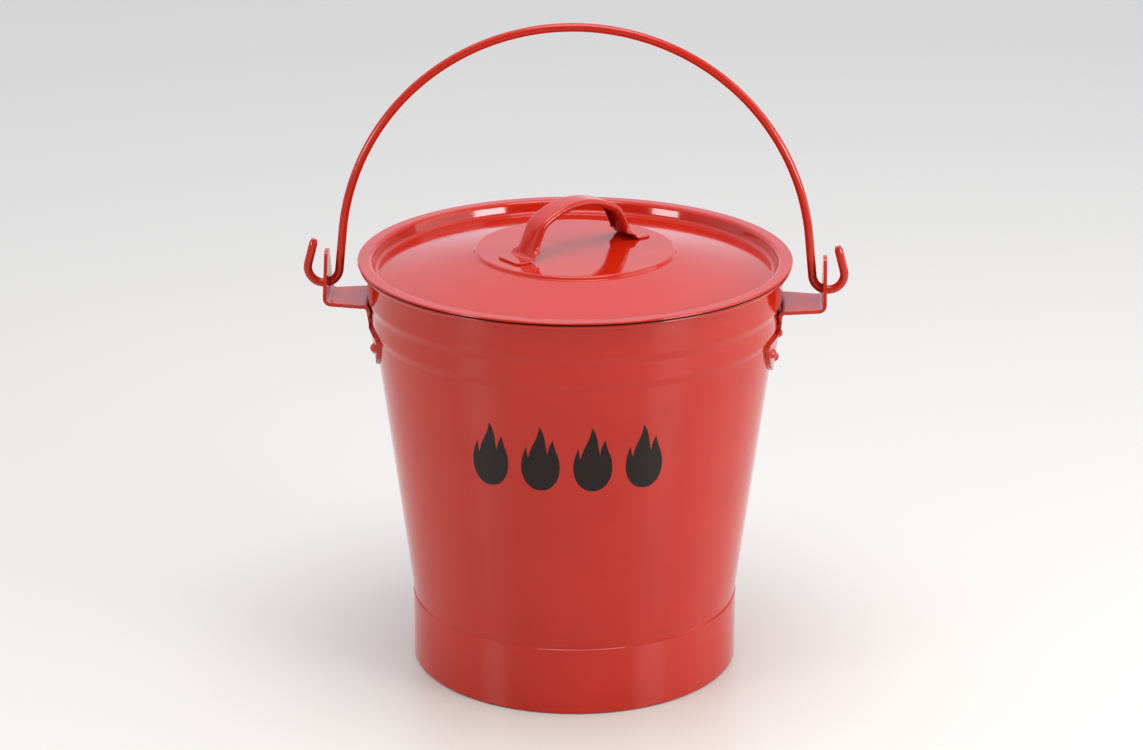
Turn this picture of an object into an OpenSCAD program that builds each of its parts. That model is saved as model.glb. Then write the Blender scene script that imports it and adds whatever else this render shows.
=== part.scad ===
// Lidded fire bucket of painted sheet steel.
// The origin is at the centre of the foot, on the floor. +Z is up, the two ears lie on the
// X axis and the front faces -Y. Sheet pieces are drawn as bent sheet, along one line.

/* [Bucket] */
// Height from the floor to the top of the rolled rim
bucket_h = 293; // [270:1:320]
// Outside diameter of the wall, taken up to the rim
mouth_d = 291; // [280:1:300]
// Outside diameter of the foot band
foot_d = 230; // [215:1:240]
// Height of the foot band
foot_h = 48; // [40:1:60]
// Thickness of the sheet that the wall, bottom, foot and lid are made from
sheet_t = 0.8; // [0.6:0.1:1.0]
// Width of the lapped seam up the back of the wall
seam_w = 11; // [6:1:16]

/* [Stiffening rings] */
// Distances from the rim top down to the crest of each pressed ring
ring_drops = [25.5, 44.5];
// How far a ring stands out of the wall
ring_rise = 1.0; // [0.6:0.1:1.4]
// Height of the short flank below a crest
ring_flank = 5; // [4:0.5:6]
// Height over which the wall runs back in above a crest
ring_run = 12; // [9:1:14]

/* [Rolled rim] */
// Diameter of the wire inside the rolled rim
rim_wire_d = 3; // [2:0.5:4]

/* [Bottom] */
// Depth of the wall and the bottom inside the foot band
seam_lap = 15; // [12:1:18]
// Height of the bottom's turned-down edge
skirt_h = 12; // [9:1:14]
// How far the bottom's panel is pressed down inside its edge
panel_drop = 3; // [2:0.5:4]
// Width of the foot band's turned-in edge
foot_turn_in = 8; // [5:1:12]

/* [Ears] */
// Thickness of the ear's plate
ear_t = 2.5; // [2:0.5:3]
// How far the middle of the upright tab stands out past the wall's mouth
arm_l = 26.5; // [23:0.5:30]
// Distance from the rim top down to the top of the ear's arm
ear_drop = 30; // [28:0.5:32]
// Width of the arm at the bucket
arm_w = 46; // [42:1:50]
// Width of the arm at the tab
tab_w = 38; // [34:1:40]
// Height of the tab above the arm
tab_h = 33; // [28:1:36]
// Radius of the tab's shoulders
tab_shoulder_r = 10; // [8:1:12]
// Width of the tab's top before its corners are rounded
tab_top_w = 10.4; // [10:0.2:13]
// Radius of the tab's top corners
tab_tip_r = 4.5; // [4:0.5:5]
// Width of the neck between the arm and the half-moon foot
neck_w = 30; // [26:1:34]
// Distance from the lower ring's crest down to the foot's straight upper edge
moon_drop = 1.5; // [1.5:0.5:3]
// Radius of the half-moon foot's lower edge
moon_r = 52; // [50:1:55]
// Distance from the lowest rivet down to the foot's lower edge
ear_edge = 7.5; // [6.5:0.5:10]
// Angle round the bucket from the ear's middle to a side rivet
side_angle = 14; // [12:0.5:15]

/* [Rivets] */
// Diameter of the rivet shank
rivet_d = 3.2; // [2.5:0.1:4]
// Diameter of the round head outside
rivet_head_d = 7; // [6:0.2:8]
// Height of the round head
rivet_head_h = 3; // [2.2:0.2:3.2]
// Distances from the rim top down to the upper, lower and side rivets
rivet_drops = [52.5, 70, 56.5];

/* [Bail] */
// Diameter of the bail's wire
wire_d = 6; // [5:0.5:7]
// Height of the pivot above the ear's arm
pivot_rise = 9.3; // [8.5:0.1:12]
// Height of the bail's top above the pivot, on the wire's middle
bail_rise = 182; // [170:1:200]
// How far each leg leans outwards
leg_lean = 6; // [3:0.5:9]
// Radius of the hook through the ear, on the wire's middle
hook_r = 11; // [9.5:0.5:12]
// How far the hook's middle lies outside the tab's middle
hook_out = 2.5; // [0:0.5:3]
// How far the hook's end leans back in
tip_lean = 15; // [5:1:20]
// Length of the hook's straight end
tip_l = 18; // [12:1:22]

/* [Lid] */
// How far the lid's edge stands out past the wall's mouth
lid_overhang = 4.5; // [4:0.1:6]
// Depth of the flange's turned-down lip below its top
lip_h = 1.2; // [1.1:0.1:1.6]
// Depth of the recess inside the flange
recess_depth = 9.2; // [8:0.1:12]
// Slope of the recess's side from upright
recess_slope = 15; // [10:1:20]
// Diameter of the flat raised middle
boss_d = 137; // [130:1:150]
// Height of the step round the raised middle
boss_step = 2.4; // [2:0.1:3]
// Height of the raised middle above the flange
boss_rise = 6; // [4:0.5:8]

/* [Lid handle] */
// Distance over the ends of the handle's feet
handle_span = 116; // [112:1:124]
// Height of the handle above the lid
handle_h = 35; // [32:1:40]
// Width of the handle's strap
strap_w = 18.5; // [16:0.5:21]
// Thickness of the handle's strap
strap_t = 1.4; // [1:0.1:1.8]
// Outer radius of the strap's curled edges
curl_r = 2.6; // [2.2:0.1:3]
// Angle through which the edges are curled
curl_turn = 165; // [120:5:180]
// Height above the lid at which the curl is fully formed
curl_start = 10; // [8:1:14]
// Radius of the top of the arch
arch_r = 60; // [50:1:70]
// Half of the angle that the top of the arch covers
arch_half = 30; // [26:1:32]
// Radius of the arch's shoulders
shoulder_r = 16; // [13:1:18]
// Slope of the legs from level
leg_slope = 65; // [60:1:70]
// Radius of the bend into the foot
foot_bend_r = 5; // [4:0.5:6]
// Angle of the handle from the X axis
handle_turn = 40; // [0:5:90]

/* [Fits] */
// Gap between sheets that lie in one another
lap_gap = 0.05; // [0.03:0.01:0.1]
// Gap between the lid's flange and the rim below it
lid_seat_gap = 0.3; // [0.3:0.05:0.5]
// Radial gap between the mouth and the lid's recess
lid_gap = 3.5; // [3:0.5:5]
// Radial gap round the bail's wire in the ear
pivot_gap = 0.8; // [0.7:0.05:1.0]

/* [Hidden] */
$fn = 144;
enamel = [0.80, 0.16, 0.13];
bare_steel = [0.62, 0.64, 0.66];
// Shortest edge that is drawn, and the widest steps of the sampled bends
shortest = 0.002;
bend_step = 9;
arch_step = 3.7;
hook_step = 14;
strap_step = 6;
leg_step = 1.6;
corner_step = 25;

// Radii of the bends in the sheet
soft_bend_r = 3;
taper_bend_r = 20;
ring_foot_r = 8;
ring_crest_r = 5;
ring_return_r = 15;
edge_bend_r = 1.6;
lip_bend_r = 0.6;
step_bend_r = 1.5;
ear_bend_r = ear_t + 2;
tab_bend_r = 3;
neck_r = 2;

// Wall: a straight piece inside the foot band, then the taper up to the rim
band_r = foot_d / 2 - sheet_t / 2;
wall_foot_r = band_r - sheet_t - lap_gap;
wall_top_r = (mouth_d - sheet_t) / 2;
taper = (wall_top_r - wall_foot_r) / (bucket_h - foot_h);
taper_angle = atan(taper);
wall_low_z = foot_h - seam_lap;
skirt_r = wall_foot_r - sheet_t - lap_gap;
rim_r = rim_wire_d / 2 + lap_gap + sheet_t / 2;
rim_z = bucket_h - rim_r - sheet_t / 2;
rim_wire_r = wall_r(rim_z) + rim_r;
// Share of the roll's radius that its edge runs in below the wire
roll_run_in = 0.4;
mouth_r = wall_r(rim_z) - sheet_t / 2;
// Depth of a lapped seam, from the sheet's middle inwards
lap_depth = 1.5 * sheet_t;

// Ears: the face that touches the wall is also the top of the arm and the inside of the tab
ear_face = sheet_t / 2 + lap_gap;
arm_z = bucket_h - ear_drop;
pivot_z = arm_z + pivot_rise;
tab_top_z = arm_z + tab_h;
crest_z = bucket_h - ring_drops[1];
ear_low_z = bucket_h - rivet_drops[1] - ear_edge;
moon_top_z = crest_z - moon_drop;
// The lower edge is an arc from moon_turn to -moon_turn that runs on straight to the top corners
moon_turn = 58;
moon_corner_z = ear_low_z + moon_r - moon_r / cos(moon_turn);
moon_half = (moon_top_z - moon_corner_z) / tan(moon_turn);
ear_reach = mouth_d / 2 + arm_l;
arm_start_r = wall_r(arm_z) + ring_rise + ear_face;
round_end_r = ear_reach - 4 * ear_bend_r;
// Turn of the bent sheet that the foot is cut from, with something to spare
sweep_spare = 8;
ear_sweep = 2 * asin(moon_half / wall_r(ear_low_z)) + sweep_spare;

// Bail, worked out so that the legs run smoothly into the arch and into the hooks
hook_mid = [ear_reach + hook_out, pivot_z + sqrt(hook_r * hook_r - hook_out * hook_out)];
leg_end = hook_mid - hook_r * [cos(leg_lean), sin(leg_lean)];
bail_top_z = pivot_z + bail_rise;
bail_r = (leg_end[0] * cos(leg_lean) + (leg_end[1] - bail_top_z) * sin(leg_lean))
    / (1 - sin(leg_lean));
bail_mid_z = bail_top_z - bail_r;
tip_start = hook_mid + hook_r * [cos(tip_lean), sin(tip_lean)];
tip_way = [-sin(tip_lean), cos(tip_lean)];
wire_sides = 16;
wire_chamfer = wire_d / 6;

// Lid
flange_z = bucket_h + lid_seat_gap + sheet_t / 2;
lid_edge_r = mouth_d / 2 + lid_overhang - sheet_t / 2;
recess_r = mouth_r - lid_gap - sheet_t / 2;
floor_r = recess_r - recess_depth * tan(recess_slope);
boss_z = flange_z + boss_rise;
boss_top_z = boss_z + sheet_t / 2;
step_run = boss_step * 0.6;

// Lid handle: middle line of the strap in the plane of its arch, measured from the lid
strap_z = strap_t / 2;
strap_arch_r = arch_r - strap_t / 2;
arch_mid = [0, handle_h - arch_r];
shoulder_mid = arch_mid + (strap_arch_r - shoulder_r) * [sin(arch_half), cos(arch_half)];
leg_top = shoulder_mid + shoulder_r * [sin(leg_slope), cos(leg_slope)];
leg_low_z = strap_z + foot_bend_r * (1 - cos(leg_slope));
leg_low = leg_top + (leg_top[1] - leg_low_z) / sin(leg_slope) * [cos(leg_slope), -sin(leg_slope)];
bend_mid = leg_low + foot_bend_r * [sin(leg_slope), cos(leg_slope)];
curl_mid_r = curl_r - strap_t / 2;
curl_l = curl_mid_r * curl_turn * PI / 180;
strap_flat = strap_w / 2 - strap_t / 2 - curl_mid_r;
foot_corner_r = 4;
curl_steps = 7;

// Middle radius of the plain wall at height z
function wall_r(z) = wall_foot_r + max(z - foot_h, 0) * taper;

function unit(v) = v / norm(v);
function left_of(v) = [-v[1], v[0]];
function turned(v, a) = [v[0] * cos(a) - v[1] * sin(a), v[0] * sin(a) + v[1] * cos(a)];
function reversed(list) = [for (i = [len(list) - 1 : -1 : 0]) list[i]];
function mirrored(points) = [for (p = reversed(points)) [-p[0], p[1]]];
function clamped(x, low, high) = min(max(x, low), high);

// Points round the corner b of the line a, b, c, on a line moved d to its left
function bend_points(a, b, c, r, d) =
    let (before = unit(b - a),
        after = unit(c - b),
        turn = acos(clamped(before * after, -1, 1)),
        left = sign(before[0] * after[1] - before[1] * after[0]),
        middle = b - before * r * tan(turn / 2) + left * r * left_of(before),
        steps = max(ceil(turn / bend_step), 1))
    [for (k = [0 : steps])
        middle - (r - left * d) * left * turned(left_of(before), left * turn * k / steps)];

// An open line with a bend at each inner corner, moved d to its left
function bent_line(path, radii, d = 0) =
    let (last = len(path) - 1,
        first_way = unit(path[1] - path[0]),
        last_way = unit(path[last] - path[last - 1]))
    distinct(concat([path[0] + d * left_of(first_way)],
        [for (i = [1 : last - 1])
            each bend_points(path[i - 1], path[i], path[i + 1], radii[i - 1], d)],
        [path[last] + d * left_of(last_way)]));

// A closed outline with rounded corners
function rounded(corners, radii) =
    let (n = len(corners))
    distinct([for (i = [0 : n - 1])
        each bend_points(corners[(i + n - 1) % n], corners[i], corners[(i + 1) % n], radii[i], 0)]);

// Leaves out points that lie on the one before
function distinct(points) = [for (i = [0 : len(points) - 1])
    if (i == 0 || norm(points[i] - points[max(i - 1, 0)]) > shortest) points[i]];

// Even steps from a to b, none wider than step
function spread(a, b, step) =
    let (n = ceil(abs(b - a) / step))
    [for (k = [0 : n]) a + (b - a) * k / n];

// A line moved sideways by d to its left, corners kept sharp
function moved(path, d) =
    let (last = len(path) - 1)
    [for (i = [0 : last])
        let (before = left_of(unit(path[max(i, 1)] - path[max(i, 1) - 1])),
            after = left_of(unit(path[min(i + 1, last)] - path[min(i, last - 1)])))
        path[i] + d * (before + after) / (1 + before * after)];

// Section of bent sheet: the strip between the lines d0 and d1 to the left of a path
module bent_sheet(path, radii, d0, d1) {
    polygon(concat(bent_line(path, radii, d0), reversed(bent_line(path, radii, d1))));
}

// Section of bent sheet with the path along its middle
module mid_sheet(path, radii, t) {
    bent_sheet(path, radii, t / 2, -t / 2);
}

// Solid whose outline is drawn looking along the X axis, from x0 to x1
module along_x(x0, x1) {
    translate([x0, 0, 0]) rotate([90, 0, 90]) linear_extrude(x1 - x0) children();
}

// Solid whose outline is drawn looking along the Y axis, w wide
module along_y(w) {
    translate([0, w / 2, 0]) rotate([90, 0, 0]) linear_extrude(w) children();
}

// Middle line of the wall at one ring: the foot of its flank, its crest, and the plain wall again
function ring_path(drop) =
    let (z = bucket_h - drop)
    [[wall_r(z - ring_flank), z - ring_flank], [wall_r(z) + ring_rise, z],
        [wall_r(z + ring_run), z + ring_run]];
rings_path = concat(ring_path(ring_drops[1]), ring_path(ring_drops[0]));
ring_radii = [ring_foot_r, ring_crest_r, ring_return_r];
lock_r = skirt_r - sheet_t - lap_gap;
// Height of the wall's edge, turned up inside the bottom's skirt
lock_h = 7;
lock_path = [[lock_r, wall_low_z + lock_h], [lock_r, wall_low_z], [wall_foot_r, wall_low_z],
    [wall_foot_r, foot_h]];
rim_path = [[wall_r(rim_z), rim_z + rim_r], [rim_wire_r + rim_r, rim_z + rim_r],
    [rim_wire_r + rim_r, rim_z - rim_r], [rim_wire_r - roll_run_in * rim_r, rim_z - rim_r]];
lock_bend_r = sheet_t + lap_gap;

// Places something at one rivet: turn round the bucket, distance below the rim
module at_rivet(turn, drop) {
    z = bucket_h - drop;
    rotate([0, 0, turn]) translate([wall_r(z), 0, z]) rotate([0, 90 + taper_angle, 0]) children();
}

module rivet_hole(turn, drop) {
    at_rivet(turn, drop) cylinder(d = rivet_d + 2 * lap_gap, h = 8 * ear_t, center = true);
}

// The four rivet holes of the ear at the given side
module ear_rivet_holes(side) {
    rivet_hole(side, rivet_drops[0]);
    rivet_hole(side, rivet_drops[1]);
    rivet_hole(side - side_angle, rivet_drops[2]);
    rivet_hole(side + side_angle, rivet_drops[2]);
}

// Wall: locked over the bottom's skirt, up the taper over the rings, and rolled round the rim wire
module bucket_wall() {
    lap_turn = seam_w / mouth_r * 180 / PI;
    lap_low_z = foot_h + soft_bend_r;
    lap_high_z = rim_z - 2 * rim_r;
    lap_path = concat([[wall_r(lap_low_z), lap_low_z]], rings_path,
        [[wall_r(lap_high_z), lap_high_z]]);
    color(enamel) difference() {
        union() {
            rotate_extrude() mid_sheet(concat(lock_path, rings_path, rim_path),
                concat([lock_bend_r, lock_bend_r, taper_bend_r], ring_radii, ring_radii,
                    [rim_r, rim_r, rim_r]), sheet_t);
            rotate([0, 0, 90 - lap_turn / 2]) rotate_extrude(angle = lap_turn)
                bent_sheet(lap_path, concat(ring_radii, ring_radii), 0, -lap_depth);
        }
        ear_rivet_holes(0);
        ear_rivet_holes(180);
    }
}

module rim_wire() {
    color(bare_steel) translate([0, 0, rim_z])
        rotate_extrude() translate([rim_wire_r, 0]) circle(d = rim_wire_d);
}

// Bottom: a turned-down skirt in the wall's lock, a raised edge and a panel pressed down inside it
module bucket_bottom() {
    top_z = wall_low_z + skirt_h + sheet_t;
    low_z = wall_low_z + lock_bend_r;
    panel_r = skirt_r - 3 * soft_bend_r;
    color(enamel) rotate_extrude() mid_sheet([[skirt_r, low_z], [skirt_r, top_z],
        [panel_r, top_z], [panel_r - panel_drop, top_z - panel_drop], [0, top_z - panel_drop]],
        [soft_bend_r, soft_bend_r, soft_bend_r], sheet_t);
}

// Foot band: straight, its lower edge turned in flat to stand on
module foot_band() {
    lap_turn = seam_w / band_r * 180 / PI;
    lap_path = [[band_r, 3 * edge_bend_r], [band_r, foot_h - edge_bend_r]];
    color(enamel) {
        rotate_extrude() mid_sheet([[band_r - foot_turn_in, sheet_t / 2],
            [band_r, sheet_t / 2], [band_r, foot_h]], [edge_bend_r], sheet_t);
        rotate([0, 0, 90 - lap_turn / 2]) rotate_extrude(angle = lap_turn)
            bent_sheet(lap_path, [], 0, -lap_depth);
    }
}

// Outline of the ear against the wall: a neck, and a half-moon with its straight edge uppermost
module ear_foot_outline() {
    neck = neck_w / 2;
    half = [[arm_w / 2, arm_z], [arm_w / 2, arm_z - 2 * ear_t], [neck, crest_z + ear_t],
        [neck, moon_top_z], [moon_half, moon_top_z]];
    radii = [0, neck_r, neck_r, neck_r, ear_t];
    polygon(rounded(concat(half, [[0, moon_corner_z]], mirrored(half)),
        concat(radii, [moon_r], reversed(radii))));
}

// Outline of the upright tab on the arm's end, drawn in to a round tip
module tab_outline() {
    shoulder_z = arm_z + 1.5 * tab_bend_r;
    half = [[arm_w / 2, arm_z - 2 * ear_t], [arm_w / 2, arm_z], [tab_w / 2, arm_z],
        [tab_w / 2, shoulder_z], [tab_top_w / 2, tab_top_z]];
    radii = [0, 0, 0, tab_shoulder_r, tab_tip_r];
    polygon(rounded(concat(half, mirrored(half)), concat(radii, reversed(radii))));
}

// Space beside the arm, which is drawn in from the bucket to the tab
module beside_arm() {
    for (side = [-1, 1]) translate([0, 0, arm_z - 2 * ear_t]) linear_extrude(3 * ear_t)
        polygon([[arm_start_r + ear_bend_r, side * arm_w / 2],
            [ear_reach - ear_bend_r, side * tab_w / 2],
            [ear_reach + 2 * ear_t, side * tab_w / 2], [ear_reach + 2 * ear_t, side * arm_w],
            [arm_start_r + ear_bend_r, side * arm_w]]);
}

// Ear on the +X side: foot on the wall, joggle over the lower ring, arm, and tab with the bail's hole
module ear() {
    low_z = ear_low_z - ear_t;
    joggle_z = crest_z - ring_flank;
    wall_line = moved([[wall_r(low_z), low_z], [wall_r(joggle_z), joggle_z],
        [wall_r(crest_z) + ring_rise, crest_z], [wall_r(arm_z) + ring_rise, arm_z]], -ear_face);
    foot_path = [wall_line[0], wall_line[1], wall_line[2], [wall_line[3][0], arm_z],
        [round_end_r, arm_z]];
    foot_radii = [ear_bend_r, ring_crest_r + ear_face, ear_bend_r];
    tab_face_r = ear_reach - ear_t / 2;
    tab_path = [[round_end_r - ear_t, arm_z], [tab_face_r, arm_z], [tab_face_r, tab_top_z + 1]];
    difference() {
        union() {
            intersection() {
                rotate([0, 0, -ear_sweep / 2]) rotate_extrude(angle = ear_sweep)
                    bent_sheet(foot_path, foot_radii, 0, -ear_t);
                along_x(0, ear_reach) ear_foot_outline();
            }
            intersection() {
                along_y(2 * arm_w) bent_sheet(tab_path, [tab_bend_r], 0, -ear_t);
                along_x(0, ear_reach + 2 * ear_t) tab_outline();
            }
        }
        beside_arm();
        ear_rivet_holes(0);
        translate([ear_reach, 0, pivot_z]) rotate([0, 90, 0])
            cylinder(r = wire_d / 2 + pivot_gap, h = 3 * ear_t, center = true);
    }
}

module ear_right() {
    color(enamel) ear();
}

module ear_left() {
    color(enamel) rotate([0, 0, 180]) ear();
}

// Round-headed rivet through the ear and the wall, closed over inside the bucket
module rivet(turn, drop) {
    seat = ear_face + ear_t;
    inside = sheet_t / 2 + lap_gap;
    dome_r = (rivet_head_d * rivet_head_d / 4 + rivet_head_h * rivet_head_h) / (2 * rivet_head_h);
    tail_r = rivet_d * 0.85;
    tail_h = rivet_d * 0.45;
    color(enamel) at_rivet(turn, drop) {
        translate([0, 0, -inside - tail_h / 2]) cylinder(d = rivet_d, h = seat + inside + tail_h / 2);
        translate([0, 0, -inside - tail_h]) cylinder(r = tail_r, h = tail_h);
        translate([0, 0, seat]) intersection() {
            translate([0, 0, rivet_head_h - dome_r]) sphere(r = dome_r);
            cylinder(d = 2 * rivet_head_d, h = rivet_head_h);
        }
    }
}

// Lid: turned-down lip, flange, recess, sloping floor, step and raised middle
module lid_pan() {
    color(enamel) rotate_extrude() mid_sheet([[lid_edge_r, flange_z + sheet_t / 2 - lip_h],
        [lid_edge_r, flange_z], [recess_r, flange_z], [floor_r, flange_z - recess_depth],
        [boss_d / 2 + step_run, boss_z - boss_step], [boss_d / 2, boss_z], [0, boss_z]],
        [lip_bend_r, soft_bend_r, soft_bend_r, step_bend_r, step_bend_r], sheet_t);
}

// Solid through a list of rings with the same even number of points, closed at both ends
module lofted(rings) {
    n = len(rings);
    m = len(rings[0]);
    sides = [for (i = [0 : n - 2]) for (j = [0 : m - 1])
        let (k = (j + 1) % m)
        [i * m + j, i * m + k, (i + 1) * m + k, (i + 1) * m + j]];
    ends = [for (k = [0 : m / 2 - 2]) [k, k + 1, m - 2 - k, m - 1 - k]];
    polyhedron(
        points = [for (ring = rings) each ring],
        faces = concat(sides, [for (quad = ends) reversed(quad)],
            [for (quad = ends) [for (q = quad) (n - 1) * m + q]]));
}

// Carries a section's [across, out] points to a place on a path in the XZ plane
function placed(section, p, way) =
    let (out = left_of(way))
    [for (s = section) [p[0] + out[0] * s[1], s[0], p[1] + out[1] * s[1]]];

// Whole path from its half on the +X side: [place, direction, size and more] from the top down
function both_sides(half) =
    concat([for (s = reversed(half)) if (s[0][0] > shortest)
        concat([[-s[0][0], s[0][1]], [s[1][0], -s[1][1]]], [for (k = [2 : len(s) - 1]) s[k]])],
        half);

// Middle of the strap's section at fraction u of an edge that is curled by a
function curl_point(a, u) = a < 1 ? [curl_l * u, 0]
    : curl_l * 180 / PI / a * [sin(u * a), cos(u * a) - 1];

// One face of the strap's section, d above its middle, in the order of y; narrow is the share of
// the width that is kept
function strap_face(a, narrow, d) =
    let (half = [for (k = [0 : curl_steps])
        let (u = k / curl_steps)
        narrow * ([strap_flat, 0] + curl_point(a, u)) + d * [sin(u * a), cos(u * a)]])
    concat([for (p = reversed(half)) [-p[0], p[1]]], half);

function strap_section(a, narrow) =
    concat(strap_face(a, narrow, strap_t / 2), reversed(strap_face(a, narrow, -strap_t / 2)));

// Curl of the strap's edges at height z over the lid: none on the foot, whole above curl_start
function curl_at(z) =
    let (u = clamped((z - leg_low_z) / (curl_start - leg_low_z), 0, 1))
    curl_turn * u * u * (3 - 2 * u);

// Half of the strap's path: arch, shoulder, leg, bend and foot, as [place, direction, curl, narrow]
function strap_half_path() =
    let (leg_way = [cos(leg_slope), -sin(leg_slope)],
        foot_end = handle_span / 2,
        half_w = strap_flat + curl_l)
    concat(
        [for (g = spread(0, arch_half, strap_step))
            [arch_mid + strap_arch_r * [sin(g), cos(g)], [cos(g), -sin(g)], curl_turn, 1]],
        [for (g = spread(arch_half, leg_slope, 1.5 * strap_step)) if (g > arch_half)
            [shoulder_mid + shoulder_r * [sin(g), cos(g)], [cos(g), -sin(g)], curl_turn, 1]],
        [for (z = spread(curl_start, leg_low_z, leg_step))
            [leg_low + (leg_low_z - z) / sin(leg_slope) * leg_way, leg_way, curl_at(z), 1]],
        [for (g = spread(leg_slope, 0, 2 * strap_step)) if (g < leg_slope)
            [bend_mid - foot_bend_r * [sin(g), cos(g)], [cos(g), -sin(g)], 0, 1]],
        [for (g = spread(0, 3 * corner_step, corner_step))
            [[foot_end - foot_corner_r * (1 - sin(g)), strap_z], [1, 0], 0,
                1 - foot_corner_r * (1 - cos(g)) / half_w]]);

// Strap handle: its edges are curled under and open out flat into two feet
module lid_handle() {
    color(enamel) translate([0, 0, boss_top_z]) rotate([0, 0, handle_turn])
        lofted([for (s = both_sides(strap_half_path()))
            placed(strap_section(s[2], s[3]), s[0], s[1])]);
}

// Half of the bail: arch, leg, hook and chamfered end, as [place, direction, radius]
function bail_half_path() =
    let (r = wire_d / 2)
    concat(
        [for (g = spread(90, leg_lean, arch_step))
            [[0, bail_mid_z] + bail_r * [cos(g), sin(g)], [sin(g), -cos(g)], r]],
        [for (g = spread(180 + leg_lean, 360 + tip_lean, hook_step))
            [hook_mid + hook_r * [cos(g), sin(g)], [-sin(g), cos(g)], r]],
        [[tip_start + (tip_l - wire_chamfer) * tip_way, tip_way, r],
            [tip_start + tip_l * tip_way, tip_way, r - wire_chamfer]]);

function wire_section(r) = [for (k = [0 : wire_sides - 1])
    r * [sin(k * 360 / wire_sides), cos(k * 360 / wire_sides)]];

// Round wire over the bucket, with an open hook through the hole of each ear
module bail() {
    color(enamel) lofted([for (s = both_sides(bail_half_path()))
        placed(wire_section(s[2]), s[0], s[1])]);
}

bucket_wall();
rim_wire();
bucket_bottom();
foot_band();
ear_left();
ear_right();
rivet(180, rivet_drops[0]);  // rivet_left_upper
rivet(180, rivet_drops[1]);  // rivet_left_lower
rivet(180 + side_angle, rivet_drops[2]);  // rivet_left_front
rivet(180 - side_angle, rivet_drops[2]);  // rivet_left_back
rivet(0, rivet_drops[0]);  // rivet_right_upper
rivet(0, rivet_drops[1]);  // rivet_right_lower
rivet(-side_angle, rivet_drops[2]);  // rivet_right_front
rivet(side_angle, rivet_drops[2]);  // rivet_right_back
lid_pan();
lid_handle();
bail();
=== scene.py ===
"""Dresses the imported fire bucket: enamel, wire, lid handle, rivets, front mark, floor and light.

Everything is in metres in the part's own frame: the origin is at the centre of the foot, +Z is
up, the ears lie along X and the front faces -Y. Sizes that a piece shares with the part's
source are written here again in millimetres.
"""

import logging
import math
from dataclasses import dataclass, field
from enum import Enum
from typing import Any, NamedTuple, Sequence

import bmesh
import bpy
from bpy.types import Material, Mesh, Modifier, Node, NodeSocket, NodeTree, Object
from mathutils import Matrix, Vector
from mathutils.geometry import delaunay_2d_cdt


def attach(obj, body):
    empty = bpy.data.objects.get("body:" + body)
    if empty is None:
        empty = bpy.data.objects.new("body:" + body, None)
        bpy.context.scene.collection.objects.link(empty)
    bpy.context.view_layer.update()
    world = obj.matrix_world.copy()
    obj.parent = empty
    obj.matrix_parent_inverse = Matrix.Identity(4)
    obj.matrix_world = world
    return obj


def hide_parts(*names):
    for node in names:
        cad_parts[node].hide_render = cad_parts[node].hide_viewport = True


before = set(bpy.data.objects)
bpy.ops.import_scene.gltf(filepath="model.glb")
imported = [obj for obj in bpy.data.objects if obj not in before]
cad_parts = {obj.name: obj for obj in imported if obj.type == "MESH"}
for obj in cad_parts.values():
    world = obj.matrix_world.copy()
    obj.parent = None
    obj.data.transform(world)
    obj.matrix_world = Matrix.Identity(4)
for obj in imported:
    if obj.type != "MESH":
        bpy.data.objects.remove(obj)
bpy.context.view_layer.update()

logging.basicConfig(level=logging.INFO, format="%(message)s")
LOG = logging.getLogger("fire_bucket")

MM = 0.001
# Width in pixels of the picture that the camera was recovered for
IMAGE_W = 1143


class Body(Enum):
    """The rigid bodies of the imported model."""

    BUCKET = "bucket"
    LID = "lid"
    BAIL = "bail"


class Slot(Enum):
    """Names of material slots in the record; no piece made here is given them."""

    RED_ENAMEL = "red_enamel"
    WIRE_ENAMEL = "wire_enamel"


class Kind(Enum):
    """The kinds of input that a Geometry Nodes tree takes here."""

    GEOMETRY = "NodeSocketGeometry"
    LENGTH = "NodeSocketFloat"
    COUNT = "NodeSocketInt"
    MATERIAL = "NodeSocketMaterial"


# Name, kind and value of each input of a Geometry Nodes tree after the geometry
Inputs = Sequence[tuple[str, Kind, Any]]


# Nodes and colours


def decoded(value: float) -> float:
    """Returns the linear value of one sRGB channel between 0 and 1."""
    return value / 12.92 if value <= 0.04045 else ((value + 0.055) / 1.055) ** 2.4


def linear(hex_colour: str) -> tuple[float, float, float, float]:
    """Returns six hex digits of sRGB as a linear colour with alpha 1."""
    return (*(decoded(int(hex_colour[i : i + 2], 16) / 255) for i in (0, 2, 4)), 1.0)


def per_mm(size: float) -> float:
    """Returns the texture scale at which a feature is this many millimetres wide."""
    return 1.0 / (size * MM)


def add_node(tree: NodeTree, kind: str, values: dict[int | str, Any] | None = None,
             **settings: Any) -> Node:
    """Adds one node to a tree with its settings, values and links.

    Args:
        tree: The node tree.
        kind: The node's type name.
        values: Input name or number to a value, or to the output or the node that feeds it. A
            node feeds its first output that is in use.
        **settings: Properties of the node itself.

    Returns:
        The new node.
    """
    node = tree.nodes.new(kind)
    for name, value in settings.items():
        setattr(node, name, value)
    for name, value in (values or {}).items():
        if isinstance(value, Node):
            value = next(socket for socket in value.outputs if socket.enabled)
        if isinstance(value, NodeSocket):
            tree.links.new(value, node.inputs[name])
        else:
            node.inputs[name].default_value = value
    return node


# Finishes


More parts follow.
